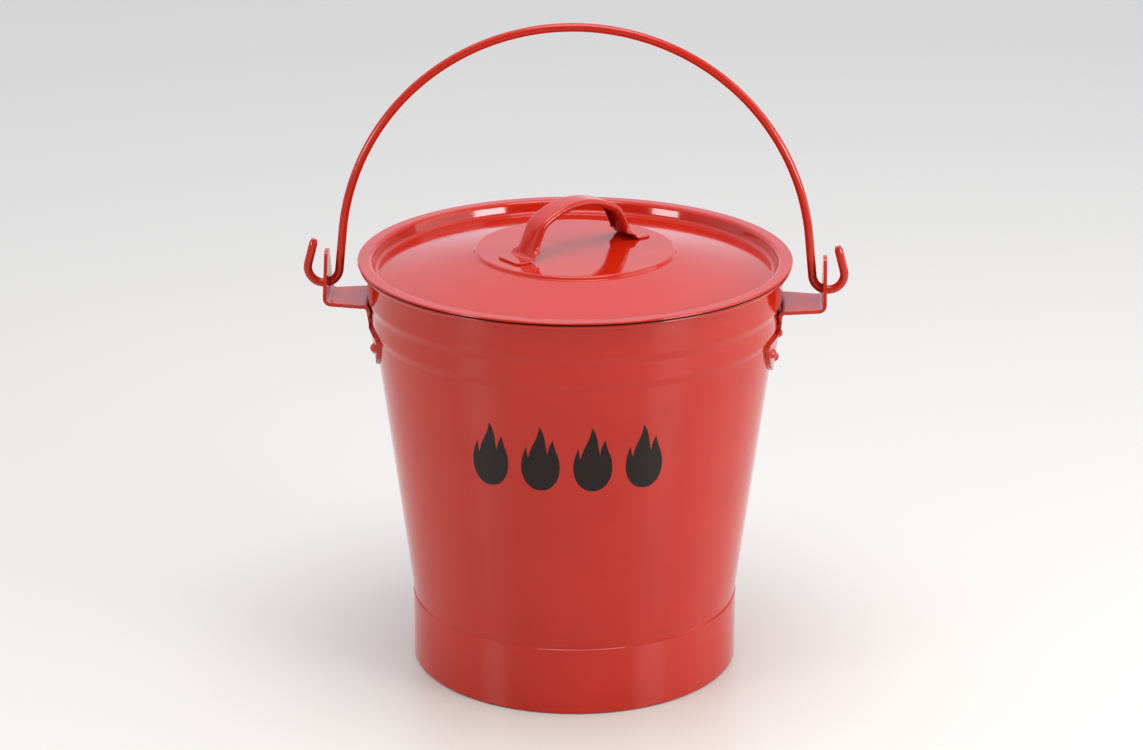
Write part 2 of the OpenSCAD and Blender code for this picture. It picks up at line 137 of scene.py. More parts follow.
@dataclass(frozen=True)
class Finish:
    """What every finish shares. Each kind adds its own nodes in its make method."""

    name: str

    def start(self) -> tuple[Material, NodeTree, NodeSocket]:
        """Makes an empty node material.

        Returns:
            The material, its tree and the output with the point's place on the object in metres.
        """
        material = bpy.data.materials.new(self.name)
        material.use_nodes = True
        tree = material.node_tree
        tree.nodes.clear()
        return material, tree, add_node(tree, "ShaderNodeTexCoord").outputs["Object"]

    def end(self, tree: NodeTree, values: dict[str, Any]) -> None:
        """Ends a material in its shader.

        Args:
            tree: The material's tree.
            values: The shader's inputs by name.
        """
        shader = add_node(tree, "ShaderNodeBsdfPrincipled", values)
        add_node(tree, "ShaderNodeOutputMaterial", {"Surface": shader})


@dataclass(frozen=True, kw_only=True)
class Mark:
    """A mark on enamel in a duller colour of its own, for wear from use and for painted shade.
    Sizes in millimetres.
    """

    colour: str
    dulled: float

    def add(self, tree: NodeTree, place: NodeSocket, values: dict[str, Any]) -> None:
        """Adds the mark to an enamel. Each kind of mark has its own way."""
        raise NotImplementedError

    def cover(self, tree: NodeTree, share: Node, values: dict[str, Any]) -> None:
        """Covers the enamel with the mark.

        Args:
            tree: The material's tree.
            share: How much of each point is covered.
            values: The shader's inputs, changed here.
        """
        values["Base Color"] = add_node(tree, "ShaderNodeMix", {
            "Factor": share, "A": values["Base Color"], "B": linear(self.colour)},
            data_type="RGBA")
        values["Roughness"] = add_node(tree, "ShaderNodeMath", {
            0: share, 1: self.dulled, 2: values["Roughness"]}, operation="MULTIPLY_ADD")


@dataclass(frozen=True, kw_only=True)
class BearingWear(Mark):
    """Enamel rubbed through to dark steel where two pieces bear, with a ragged edge.

    It gives the eye the one place where metal moves on metal. The place is one point and its
    mirror images.
    """

    at: tuple[float, float, float]
    reach: float
    edge: float = 0.5
    flake_mm: float = 1.8
    flake_reach: float = 3.2
    colour: str = "5b4a46"
    dulled: float = 0.22

    def add(self, tree: NodeTree, place: NodeSocket, values: dict[str, Any]) -> None:
        """Adds the wear to an enamel.

        Args:
            tree: The material's tree.
            place: The output with the point's place in metres.
            values: The shader's inputs, changed here.
        """
        folded = add_node(tree, "ShaderNodeVectorMath", {0: place}, operation="ABSOLUTE")
        away = add_node(tree, "ShaderNodeVectorMath", {
            0: folded, 1: [c * MM for c in self.at]}, operation="DISTANCE").outputs["Value"]
        flaking = add_node(tree, "ShaderNodeTexNoise", {
            "Vector": place, "Scale": per_mm(self.flake_mm), "Detail": 4.0})
        ragged = add_node(tree, "ShaderNodeMath", {
            0: flaking, 1: self.flake_reach * MM, 2: away}, operation="MULTIPLY_ADD")
        bare = add_node(tree, "ShaderNodeMapRange", {
            "Value": ragged, "From Min": (self.reach - self.edge) * MM,
            "From Max": (self.reach + self.edge) * MM, "To Min": 1.0, "To Max": 0.0})
        self.cover(tree, bare, values)
        values["Metallic"] = bare


@dataclass(frozen=True, kw_only=True)
class LidGapPaintedShade(Mark):
    """Painted shade: a matt dark line round the outside of the rim, along the lid's edge.

    It paints the shade of the gap under that edge into the enamel's colour.
    """

    # Heights in millimetres of the painted shade line; its dark colour and low specular paint the
    # gap's shade
    low: float = 291.3
    high: float = 292.2
    edge: float = 0.4
    shade_edge_mm: float = 6.0
    colour: str = "46100a"
    dulled: float = 0.45
    specular: float = 0.1

    def add(self, tree: NodeTree, place: NodeSocket, values: dict[str, Any]) -> None:
        """Adds the line of dirt to an enamel.

        Args:
            tree: The material's tree.
            place: The output with the point's place in metres.
            values: The shader's inputs, changed here.
        """
        height = add_node(tree, "ShaderNodeSeparateXYZ", {0: place}).outputs["Z"]
        shade_edge_noise = add_node(tree, "ShaderNodeTexNoise", {
            "Vector": place, "Scale": per_mm(self.shade_edge_mm), "Detail": 4.0})
        ragged = add_node(tree, "ShaderNodeMath", {
            0: shade_edge_noise, 1: self.edge * MM, 2: height}, operation="MULTIPLY_ADD")
        below = add_node(tree, "ShaderNodeMapRange", {
            "Value": height, "From Min": self.high * MM,
            "From Max": (self.high + self.edge) * MM, "To Min": 1.0, "To Max": 0.0})
        # Painted shade: the band under the lid's edge is darkened, with a ragged lower edge
        painted_shade = add_node(tree, "ShaderNodeMapRange", {
            "Value": ragged, "From Min": self.low * MM,
            "From Max": (self.low + self.edge) * MM, "To Max": below})
        self.cover(tree, painted_shade, values)
        # Low specular keeps the painted shade from mirroring the studio
        values["Specular IOR Level"] = add_node(tree, "ShaderNodeMapRange", {
            "Value": painted_shade, "To Min": 0.5, "To Max": self.specular})


@dataclass(frozen=True)
class StovedEnamel(Finish):
    """Gloss red enamel, sprayed on sheet steel and stoved.

    Its smooth skin mirrors the studio sharply. The sheet under it is never quite flat, so that
    the mirrored edges waver, and the sprayed coat has a faint peel with a few dust nibs. Handling
    leaves patches that are a little less glossy. Marks of use and painted shade lie over all this.
    """

    colour: str = "b11b05"
    thin_colour: str = "b72009"
    thin_span: tuple[float, float] = (0.3, 0.7)
    cloud_mm: float = 60.0
    roughness: float = 0.085
    dulled: float = 0.07
    smear_span: tuple[float, float] = (0.48, 0.85)
    smear_mm: float = 14.0
    peel_mm: float = 2.4
    peel_depth: float = 0.0022
    wave_mm: float = 38.0
    wave_depth: float = 0.11
    nib_mm: float = 11.0
    nib_depth: float = 0.03
    nib_share: float = 0.14
    # A nib's radius as a share of its cell
    nib_r: float = 0.05
    marks: tuple[Mark, ...] = ()

    def make(self) -> Material:
        """Adds colour, gloss, relief and marks.

        Returns:
            The enamel as a material.
        """
        material, tree, place = self.start()
        values = {"Base Color": self.film(tree, place), "Roughness": self.gloss(tree, place),
                  "IOR": 1.47, "Normal": self.skin(tree, place)}
        for mark in self.marks:
            mark.add(tree, place, values)
        self.end(tree, values)
        return material

    def film(self, tree: NodeTree, place: NodeSocket) -> Node:
        """Adds the coat's colour, a shade lighter where the film is thin.

        Args:
            tree: The material's tree.
            place: The output with the point's place in metres.

        Returns:
            The node with the colour.
        """
        cloud = add_node(tree, "ShaderNodeTexNoise", {
            "Vector": place, "Scale": per_mm(self.cloud_mm), "Detail": 3.0})
        thin = add_node(tree, "ShaderNodeMapRange", {
            "Value": cloud, "From Min": self.thin_span[0], "From Max": self.thin_span[1]})
        return add_node(tree, "ShaderNodeMix", {
            "Factor": thin, "A": linear(self.colour), "B": linear(self.thin_colour)},
            data_type="RGBA")

    def gloss(self, tree: NodeTree, place: NodeSocket) -> Node:
        """Adds the roughness, with smears where hands have dulled the gloss.

        Args:
            tree: The material's tree.
            place: The output with the point's place in metres.

        Returns:
            The node with the roughness.
        """
        smear = add_node(tree, "ShaderNodeTexNoise", {
            "Vector": place, "Scale": per_mm(self.smear_mm), "Detail": 7.0, "Roughness": 0.68,
            "Distortion": 0.5})
        return add_node(tree, "ShaderNodeMapRange", {
            "Value": smear, "From Min": self.smear_span[0], "From Max": self.smear_span[1],
            "To Min": self.roughness, "To Max": self.roughness + self.dulled})

    def skin(self, tree: NodeTree, place: NodeSocket) -> Node:
        """Adds the relief: the sheet's own waves, the coat's peel and the dust nibs.

        Args:
            tree: The material's tree.
            place: The output with the point's place in metres.

        Returns:
            The node with the normal.
        """
        waves = add_node(tree, "ShaderNodeTexNoise", {
            "Vector": place, "Scale": per_mm(self.wave_mm), "Detail": 1.0})
        sheet = add_node(tree, "ShaderNodeBump", {
            "Height": waves, "Distance": self.wave_depth * MM})
        orange = add_node(tree, "ShaderNodeTexNoise", {
            "Vector": place, "Scale": per_mm(self.peel_mm), "Detail": 1.0})
        peel = add_node(tree, "ShaderNodeBump", {
            "Height": orange, "Distance": self.peel_depth * MM, "Normal": sheet})
        cell = add_node(tree, "ShaderNodeTexVoronoi", {
            "Vector": place, "Scale": per_mm(self.nib_mm)}).outputs
        nib = add_node(tree, "ShaderNodeMapRange", {
            "Value": cell["Distance"], "From Max": self.nib_r, "To Min": 1.0, "To Max": 0.0},
            interpolation_type="SMOOTHSTEP")
        dice = add_node(tree, "ShaderNodeSeparateColor", {"Color": cell["Color"]})
        few = add_node(tree, "ShaderNodeMath", {
            0: dice.outputs["Red"], 1: 1.0 - self.nib_share}, operation="GREATER_THAN")
        nibs = add_node(tree, "ShaderNodeMath", {0: nib, 1: few}, operation="MULTIPLY")
        return add_node(tree, "ShaderNodeBump", {
            "Height": nibs, "Distance": self.nib_depth * MM, "Normal": peel})


@dataclass(frozen=True)
class ScreenInk(Finish):
    """Black ink printed through a screen over the enamel.

    It is dense and flatter than the gloss round it, and the red shows faintly through where the
    screen left it thin.
    """

    colour: str = "0c0404"
    thin_colour: str = "240a08"
    thin_span: tuple[float, float] = (0.35, 0.8)
    roughness: float = 0.34
    # A real screen is ten times finer, which wouldn't show
    mesh_mm: float = 0.9
    mesh_depth: float = 0.004

    def make(self) -> Material:
        """Adds the ink's colour, gloss and screen marks.

        Returns:
            The ink as a material.
        """
        material, tree, place = self.start()
        grain = add_node(tree, "ShaderNodeTexNoise", {
            "Vector": place, "Scale": per_mm(self.mesh_mm), "Detail": 3.0})
        thin = add_node(tree, "ShaderNodeMapRange", {
            "Value": grain, "From Min": self.thin_span[0], "From Max": self.thin_span[1]})
        self.end(tree, {
            "Base Color": add_node(tree, "ShaderNodeMix", {
                "Factor": thin, "A": linear(self.colour), "B": linear(self.thin_colour)},
                data_type="RGBA"),
            "Roughness": add_node(tree, "ShaderNodeMapRange", {
                "Value": grain, "To Min": self.roughness - 0.06, "To Max": self.roughness + 0.1}),
            "IOR": 1.36,
            "Normal": add_node(tree, "ShaderNodeBump", {
                "Height": grain, "Distance": self.mesh_depth * MM})})
        return material


@dataclass(frozen=True)
class DrawnSteel(Finish):
    """Bright drawn steel wire inside the rim: a metal with a fine satin grain."""

    colour: str = "b9bbbd"
    roughness: float = 0.34
    # Real drawing marks are finer than the picture can show
    grain_mm: float = 0.5

    def make(self) -> Material:
        """Adds the metal's colour and its grain.

        Returns:
            The wire steel as a material.
        """
        material, tree, place = self.start()
        grain = add_node(tree, "ShaderNodeTexNoise", {
            "Vector": place, "Scale": per_mm(self.grain_mm), "Detail": 4.0})
        self.end(tree, {
            "Base Color": linear(self.colour), "Metallic": 1.0,
            "Roughness": add_node(tree, "ShaderNodeMapRange", {
                "Value": grain, "To Min": self.roughness - 0.08,
                "To Max": self.roughness + 0.08})})
        return material


@dataclass(frozen=True)
class StudioPaper(Finish):
    """Coated white background paper: a satin sheen at low angles over its faint fibre."""

    colour: str = "cfcdc8"
    roughness: float = 0.36
    # Real fibre is finer than the picture can show
    fibre_mm: float = 2.0
    fibre_depth: float = 0.01

    def make(self) -> Material:
        """Adds the paper's colour, sheen and fibre.

        Returns:
            The paper as a material.
        """
        material, tree, place = self.start()
        fibre = add_node(tree, "ShaderNodeTexNoise", {
            "Vector": place, "Scale": per_mm(self.fibre_mm), "Detail": 4.0})
        self.end(tree, {
            "Base Color": linear(self.colour), "Roughness": self.roughness,
            "Normal": add_node(tree, "ShaderNodeBump", {
                "Height": fibre, "Distance": self.fibre_depth * MM})})
        return material


def made(finish: type[Finish], name: str, **settings: Any) -> Any:
    """Returns a dataclass field that holds a finish made under this name."""
    return field(default_factory=lambda: finish(name, **settings).make())


# Where the bail's wire bears in the ears, above its middle, in millimetres
BEARING = (172.0, 0.0, 275.4)


@dataclass(frozen=True)
class Finishes:
    """Every finish of the object, made once."""

    sheet: Material = made(StovedEnamel, "stoved_red_enamel_on_sheet")
    # The wall's enamel carries a painted shade line under the lid's edge
    wall: Material = made(StovedEnamel, "stoved_red_enamel_on_wall", marks=(LidGapPaintedShade(),))
    ear: Material = made(
        StovedEnamel, "stoved_red_enamel_on_ear_plate", roughness=0.14, wave_mm=16.0,
        wave_depth=0.05, peel_depth=0.005, marks=(BearingWear(at=BEARING, reach=4.9),))
    wire: Material = made(
        StovedEnamel, "dipped_red_enamel_on_wire", roughness=0.16, wave_mm=9.0, wave_depth=0.05,
        peel_mm=3.0, peel_depth=0.006, marks=(BearingWear(at=BEARING, reach=4.4),))
    strap: Material = made(
        StovedEnamel, "stoved_red_enamel_on_strap", roughness=0.09, wave_mm=14.0, wave_depth=0.05)
    ink: Material = made(ScreenInk, "black_screen_ink")
    steel: Material = made(DrawnSteel, "bright_drawn_steel")
    paper: Material = made(StudioPaper, "white_studio_paper")


# Shapes


def even(start: float, end: float, steps: int) -> list[float]:
    """Returns values at even steps from start to end, both included."""
    return [start + (end - start) * k / steps for k in range(steps + 1)]


def placed(name: str, data: Any) -> Object:
    """Puts a new object with this data into the scene."""
    thing = bpy.data.objects.new(name, data)
    bpy.context.scene.collection.objects.link(thing)
    return thing


def piece_from(name: str, mesh: Mesh, material: Material) -> Object:
    """Puts a mesh into the scene as one object at the origin.

    Args:
        name: The piece's name.
        mesh: Its mesh, already in place.
        material: Its only material.

    Returns:
        The new object.
    """
    mesh.materials.clear()
    mesh.materials.append(material)
    mesh.polygons.foreach_set("use_smooth", [True] * len(mesh.polygons))
    return placed(name, mesh)


def mesh_from(name: str, points: Sequence[Any], faces: Sequence[Sequence[int]]) -> Mesh:
    """Makes a mesh from points in metres, with its doubles merged and its faces turned out.

    Args:
        name: The mesh's name.
        points: Corner points.
        faces: Corner numbers of each face.

    Returns:
        The new mesh.
    """
    mesh = bpy.data.meshes.new(name)
    mesh.from_pydata(points, [], faces)
    work = bmesh.new()
    work.from_mesh(mesh)
    bmesh.ops.remove_doubles(work, verts=work.verts, dist=1e-6)
    bmesh.ops.recalc_face_normals(work, faces=work.faces)
    work.to_mesh(mesh)
    work.free()
    return mesh


def set_input(modifier: Modifier, name: str, value: Any) -> None:
    """Sets one named input of a Geometry Nodes modifier through its socket's identifier.

    Args:
        modifier: The modifier.
        name: The input's name.
        value: Its value.
    """
    for item in modifier.node_group.interface.items_tree:
        if item.item_type == "SOCKET" and item.in_out == "INPUT" and item.name == name:
            modifier[item.identifier] = value
            return
    raise KeyError(name)


def new_tree(name: str, inputs: Inputs) -> NodeTree:
    """Makes an empty Geometry Nodes tree.

    Args:
        name: The tree's name.
        inputs: Its inputs after the geometry.

    Returns:
        The tree, with its Geometry input and output.
    """
    tree = bpy.data.node_groups.new(name, "GeometryNodeTree")
    for label, kind in [("Geometry", Kind.GEOMETRY), *(row[:2] for row in inputs)]:
        tree.interface.new_socket(label, in_out="INPUT", socket_type=kind.value)
    tree.interface.new_socket("Geometry", in_out="OUTPUT", socket_type=Kind.GEOMETRY.value)
    return tree


def grown(name: str, base: Any, tree: NodeTree, inputs: Inputs, finish: Material) -> Object:
    """Grows a piece from a curve or from points, and leaves no modifier on it.

    Args:
        name: The piece's name.
        base: The curve, or the mesh of points.
        tree: The Geometry Nodes tree.
        inputs: The tree's inputs with their values.
        finish: The piece's material.

    Returns:
        The new object.
    """
    holder = placed(base.name, base)
    modifier = holder.modifiers.new(tree.name, "NODES")
    modifier.node_group = tree
    for label, _, value in inputs:
        set_input(modifier, label, value)
    graph = bpy.context.evaluated_depsgraph_get()
    mesh = bpy.data.meshes.new_from_object(holder.evaluated_get(graph))
    mesh.name = name
    bpy.data.objects.remove(holder)
    return piece_from(name, mesh, finish)


# Sub-assemblies


def dress_node(name: str, material: Material) -> None:
    """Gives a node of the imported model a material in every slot.

    Args:
        name: The node.
        material: The material.
    """
    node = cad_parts[name]
    if not node.material_slots:
        node.data.materials.append(material)
    for slot in node.material_slots:
        slot.material = material
    LOG.info("dressed %s in %s", name, material.name)


@dataclass
class BucketSheet:
    """Wall, foot band, bottom, rim wire and ears, as the part's source makes them."""

    finishes: Finishes
    sheets: tuple[str, ...] = ("foot_band", "bucket_bottom")
    plates: tuple[str, ...] = ("ear_left", "ear_right")

    def dress(self) -> None:
        """Gives each node its finish."""
        dress_node("bucket_wall", self.finishes.wall)
        for name in self.sheets:
            dress_node(name, self.finishes.sheet)
        for name in self.plates:
            dress_node(name, self.finishes.ear)
        dress_node("rim_wire", self.finishes.steel)


@dataclass
class WallCone:
    """The outside of the wall, for pieces that lie on it. Sizes in millimetres."""

    foot_r: float = 113.75
    foot_z: float = 48.0
    # Gain in radius for each millimetre of height
    rise: float = 0.12796
    half_sheet: float = 0.4

    def radius(self, z: float) -> float:
        """Returns the outside radius of the plain wall at a height."""
        return self.foot_r + max(z - self.foot_z, 0.0) * self.rise + self.half_sheet

    def point(self, across: float, z: float, proud: float) -> tuple[float, float, float]:
        """Places a point of a flat drawing on the front of the wall.

        Args:
            across: Distance along the wall from the middle of the front, to the right.
            z: Height.
            proud: Distance from the wall's surface.

        Returns:
            The point in metres.
        """
        r = self.radius(z)
        angle = across / r
        return ((r + proud) * math.sin(angle) * MM, -(r + proud) * math.cos(angle) * MM, z * MM)


@dataclass
class FrontMark:
    """Plain black flames in a row on the front, a general sign for fire."""

    finishes: Finishes
    wall: WallCone = field(default_factory=WallCone)
    count: int = 4
    pitch: float = 35.0
    height: float = 47.0
    width: float = 26.0
    low_z: float = 170.0
    film: float = 0.06
    # Spacing of the points inside a flame, which let the film follow the wall
    grid: float = 2.5

    def outline(self, steps: int = 14) -> list[tuple[float, float]]:
        """Draws one flame, a unit wide and a unit high, from its foot round to its foot.

        Args:
            steps: Points on each of its curves.

        Returns:
            The points, with no point twice.
        """
        # Curve after curve, each from the last one's end over two points that pull at it
        chain = [
            (0.0, 0.0), (0.30, 0.0), (0.50, 0.16), (0.50, 0.38), (0.50, 0.56), (0.36, 0.62),
            (0.33, 0.80), (0.24, 0.72), (0.20, 0.66), (0.19, 0.56), (0.12, 0.70), (0.16, 0.86),
            (-0.02, 1.0), (-0.04, 0.80), (-0.26, 0.70), (-0.31, 0.50), (-0.35, 0.56),
            (-0.36, 0.62), (-0.36, 0.68), (-0.45, 0.56), (-0.50, 0.48), (-0.50, 0.36),
            (-0.50, 0.16), (-0.30, 0.0), (0.0, 0.0),
        ]
        points = []
        for first in range(0, len(chain) - 1, 3):
            for t in even(0.0, 1.0, steps)[:-1]:
                pull = ((1 - t) ** 3, 3 * t * (1 - t) ** 2, 3 * t * t * (1 - t), t**3)
                points.append(tuple(sum(share * point[axis] for share, point in zip(
                    pull, chain[first : first + 4])) for axis in (0, 1)))
        return points

    def build(self) -> Object:
        """Prints the row of flames on the wall.

        Returns:
            The film of ink as one piece.
        """
        points: list[tuple[float, float, float]] = []
        faces: list[tuple[int, ...]] = []
        for number in range(self.count):
            middle = (number - (self.count - 1) / 2) * self.pitch
            rim = [(middle + x * self.width, self.low_z + z * self.height)
                   for x, z in self.outline()]
            cells = [(middle + (i + 0.5) * self.grid - self.width / 2,
                      self.low_z + (k + 0.5) * self.grid)
                     for i in range(int(self.width / self.grid))
                     for k in range(int(self.height / self.grid))]
            edges = [(i, (i + 1) % len(rim)) for i in range(len(rim))]
            # Kind 1 keeps only what lies inside the rim
            flat, _, tris, _, _, _ = delaunay_2d_cdt(
                [Vector(p) for p in rim + cells], edges, [list(range(len(rim)))], 1, 1e-4)
            start = len(points)
            points += [self.wall.point(p.x, p.y, self.film) for p in flat]
            faces += [tuple(start + i for i in tri) for tri in tris]
        mesh = bpy.data.meshes.new("front_mark")
        mesh.from_pydata(points, [], faces)
        piece = piece_from("front_mark", mesh, self.finishes.ink)
        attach(piece, Body.BUCKET.value)
        return piece


@dataclass
class BailWire:
    """The round wire of the bail, swept along its arch, legs and hooks. Sizes in millimetres."""

    finishes: Finishes
    wire_d: float = 5.98
    reach: float = 172.0
    pivot_z: float = 272.3
    rise: float = 182.0
    lean: float = 6.0
    hook_r: float = 11.0
    hook_out: float = 2.5
    tip_lean: float = 15.0
    tip_l: float = 17.98
    chamfer: float = 1.2
    # Share of the wire's radius that is left at its cut ends
    end_share: float = 0.68
    sides: int = 24
    arch_steps: int = 60
    hook_steps: int = 36
    straight_steps: int = 6

    def half_path(self) -> list[tuple[float, float]]:
        """Works out the wire's middle from its arch, leg and hook.

        Returns:
            X and Z from the top of the arch to the end of the +X hook.
        """
        lean, tip = math.radians(self.lean), math.radians(self.tip_lean)
        hook_x = self.reach + self.hook_out
        hook_z = self.pivot_z + math.sqrt(self.hook_r**2 - self.hook_out**2)
        leg = (hook_x - self.hook_r * math.cos(lean), hook_z - self.hook_r * math.sin(lean))
        top = self.pivot_z + self.rise
        arch_r = ((leg[0] * math.cos(lean) + (leg[1] - top) * math.sin(lean))
                  / (1 - math.sin(lean)))
        points = [(arch_r * math.cos(a), top - arch_r + arch_r * math.sin(a))
                  for a in even(math.pi / 2, lean, self.arch_steps)]
        low = points[-1]
        points += [(low[0] + (leg[0] - low[0]) * share, low[1] + (leg[1] - low[1]) * share)
                   for share in even(0.0, 1.0, self.straight_steps)[1:-1]]
        points += [(hook_x + self.hook_r * math.cos(a), hook_z + self.hook_r * math.sin(a))
                   for a in even(math.pi + lean, math.tau + tip, self.hook_steps)]
        end = points[-1]
        points += [(end[0] - math.sin(tip) * s, end[1] + math.cos(tip) * s)
                   for s in even(0.0, self.tip_l, self.straight_steps)[1:]]
        return points

    def inputs(self) -> Inputs:
        """Returns the inputs of the sweep's tree."""
        return [("Radius", Kind.LENGTH, self.wire_d / 2 * MM), ("Sides", Kind.COUNT, self.sides),
                ("Chamfer", Kind.LENGTH, self.chamfer * MM),
                ("Finish", Kind.MATERIAL, self.finishes.wire)]

    def tree(self) -> NodeTree:
        """Sweeps a round section along the path and chamfers its ends.

        Returns:
            The Geometry Nodes tree.
        """
        tree = new_tree("swept_wire", self.inputs())
        sockets = add_node(tree, "NodeGroupInput").outputs
        length = add_node(tree, "GeometryNodeSplineLength").outputs["Length"]
        along = add_node(tree, "GeometryNodeSplineParameter").outputs["Length"]
        rest = add_node(tree, "ShaderNodeMath", {0: length, 1: along}, operation="SUBTRACT")
        nearest = add_node(tree, "ShaderNodeMath", {0: along, 1: rest}, operation="MINIMUM")
        full = add_node(tree, "ShaderNodeMapRange", {
            "Value": nearest, "From Max": sockets["Chamfer"], "To Min": self.end_share})
        sized = add_node(tree, "ShaderNodeMath", {0: full, 1: sockets["Radius"]},
                         operation="MULTIPLY")
        ring = add_node(tree, "GeometryNodeCurvePrimitiveCircle", {
            "Resolution": sockets["Sides"], "Radius": 1.0}, mode="RADIUS")
        swept = add_node(tree, "GeometryNodeCurveToMesh", {
            "Curve": sockets["Geometry"], "Profile Curve": ring, "Scale": sized,
            "Fill Caps": True})
        real = add_node(tree, "GeometryNodeRealizeInstances", {0: swept})
        dressed = add_node(tree, "GeometryNodeSetMaterial", {
            "Geometry": real, "Material": sockets["Finish"]})
        add_node(tree, "NodeGroupOutput", {0: dressed})
        return tree

    def build(self) -> Object:
        """Lays the whole path and sweeps the wire along it.

        Returns:
            The piece that stands for the bail.
        """
        half = self.half_path()
        path = [(-x, z) for x, z in reversed(half)] + half[1:]
        curve = bpy.data.curves.new("bail_path", "CURVE")
        curve.dimensions = "3D"
        spline = curve.splines.new("POLY")
        spline.points.add(len(path) - 1)
        for point, (x, z) in zip(spline.points, path):
            point.co = (x * MM, 0.0, z * MM, 1.0)
        piece = grown("bail_wire", curve, self.tree(), self.inputs(), self.finishes.wire)
        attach(piece, Body.BAIL.value)
        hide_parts("bail")
        return piece


class Station(NamedTuple):
    """One place along a strap, with its downward slope in radians, the curl of its edges in
    degrees and the share of its width that is kept.
    """

    x: float
    z: float
    slope: float
    curl: float
    width: float


@dataclass
class LidHandle:
    """Strap handle with curled edges that open out into two flat feet. Sizes in millimetres."""

    finishes: Finishes
    boss_z: float = 300.1
    span: float = 116.0
    height: float = 35.0
    strap_w: float = 18.5
    strap_t: float = 1.4
    curl_r: float = 2.6
    curl_turn: float = 165.0
    curl_start: float = 10.0
    arch_r: float = 60.0
    arch_half: float = 30.0
    shoulder_r: float = 16.0
    leg_slope: float = 65.0
    bend_r: float = 5.0
    corner_r: float = 4.0
    # How far each corner of a foot turns, short of a right angle so that the foot ends blunt
    corner_turn: float = 85.0
    # How round the strap's cut edge is, as a share of a half circle
    nose: float = 0.55
    # How far the handle stands turned from the line of the ears
    turn: float = 40.0
    arch_steps: int = 12
    bend_steps: int = 8
    corner_steps: int = 7
    edge_steps: int = 10

    def leg_low_z(self) -> float:
        """Returns the height over the lid at which a leg bends into its foot."""
        return self.strap_t / 2 + self.bend_r * (1 - math.cos(math.radians(self.leg_slope)))

    def curl_at(self, z: float) -> float:
        """Works out how far the strap's edges curl, from none at a foot to all of it.

        Args:
            z: Height over the lid.

        Returns:
            The curl in degrees.
        """
        low = self.leg_low_z()
        u = min(max((z - low) / (self.curl_start - low), 0.0), 1.0)
        return self.curl_turn * u * u * (3 - 2 * u)

    def stations(self) -> list[Station]:
        """Follows the strap's middle over arch, shoulder, leg and bend into one foot.

        Returns:
            The stations from the top to the foot's end.
        """
        t = self.strap_t / 2
        slope, half = math.radians(self.leg_slope), math.radians(self.arch_half)
        arch_r, arch_z = self.arch_r - t, self.height - self.arch_r
        shoulder = ((arch_r - self.shoulder_r) * math.sin(half),
                    arch_z + (arch_r - self.shoulder_r) * math.cos(half))
        leg_top = (shoulder[0] + self.shoulder_r * math.sin(slope),
                   shoulder[1] + self.shoulder_r * math.cos(slope))
        low_z = self.leg_low_z()
        low_x = leg_top[0] + (leg_top[1] - low_z) / math.tan(slope)
        bend = (low_x + self.bend_r * math.sin(slope), low_z + self.bend_r * math.cos(slope))
        half_w = self.strap_flat() + self.curl_l()

        line = [Station(arch_r * math.sin(g), arch_z + arch_r * math.cos(g), g, self.curl_turn,
                        1.0) for g in even(0.0, half, self.arch_steps)]
        line += [Station(shoulder[0] + self.shoulder_r * math.sin(g),
                         shoulder[1] + self.shoulder_r * math.cos(g), g, self.curl_turn, 1.0)
                 for g in even(half, slope, self.bend_steps)[1:]]
        line += [Station(low_x + (low_z - z) / math.tan(slope), z, slope, self.curl_at(z), 1.0)
                 for z in even(self.curl_start, low_z, self.bend_steps)]
        line += [Station(bend[0] - self.bend_r * math.sin(g), bend[1] - self.bend_r * math.cos(g),
                         g, 0.0, 1.0) for g in even(slope, 0.0, self.bend_steps)[1:]]
        line += [Station(self.span / 2 - self.corner_r * (1 - math.sin(g)), t, 0.0, 0.0,
                         1 - self.corner_r * (1 - math.cos(g)) / half_w)
                 for g in even(0.0, math.radians(self.corner_turn), self.corner_steps)]
        return line

    def curl_l(self) -> float:
        """Returns the length of strap in one curl, on its middle."""
        return (self.curl_r - self.strap_t / 2) * math.radians(self.curl_turn)

    def strap_flat(self) -> float:
        """Returns half the width of the flat between the curls."""
        reach = (self.curl_r - self.strap_t / 2) * math.sin(math.radians(min(self.curl_turn, 90)))
        return self.strap_w / 2 - self.strap_t / 2 - reach

    def middle(self, u: float, curl: float, narrow: float) -> tuple[float, float, float]:
        """Places a point of the strap's middle in one curled edge.

        Args:
            u: Share of the way from the flat to the edge.
            curl: Angle through which the edge is curled, in degrees.
            narrow: Share of the width that is kept.

        Returns:
            Distance across, distance outwards and lean in radians.
        """
        flat, curl_l, turn = self.strap_flat(), self.curl_l(), math.radians(curl)
        if turn < 0.02:
            return narrow * (flat + curl_l * u), 0.0, 0.0
        r = curl_l / turn
        return (narrow * (flat + r * math.sin(u * turn)),
                narrow * r * (math.cos(u * turn) - 1), u * turn)

    def section(self, curl: float, narrow: float) -> list[tuple[float, float]]:
        """Returns the strap's section with rounded edges.

        Args:
            curl: Angle through which the edges are curled, in degrees.
            narrow: Share of the width that is kept.

        Returns:
            Points across and outwards, once round the section.
        """
        t = self.strap_t / 2
        side = [(narrow * self.strap_flat() * k / 3, 0.0, 0.0) for k in (1, 2)]
        side += [self.middle(u, curl, narrow) for u in even(0.0, 1.0, self.edge_steps)]
        outer = [(y + t * math.sin(a), o + t * math.cos(a)) for y, o, a in side]
        inner = [(y - t * math.sin(a), o - t * math.cos(a)) for y, o, a in side]
        y, o, a = side[-1]
        nose = []
        for g in even(0.0, math.pi, 6)[1:-1]:
            along = t * self.nose * math.sin(g)
            rise = t * math.cos(g)
            nose.append((y + along * math.cos(a) + rise * math.sin(a),
                         o - along * math.sin(a) + rise * math.cos(a)))
        right = outer + nose + inner[::-1]
        left = [(-p[0], p[1]) for p in reversed(right)]
        return right + left

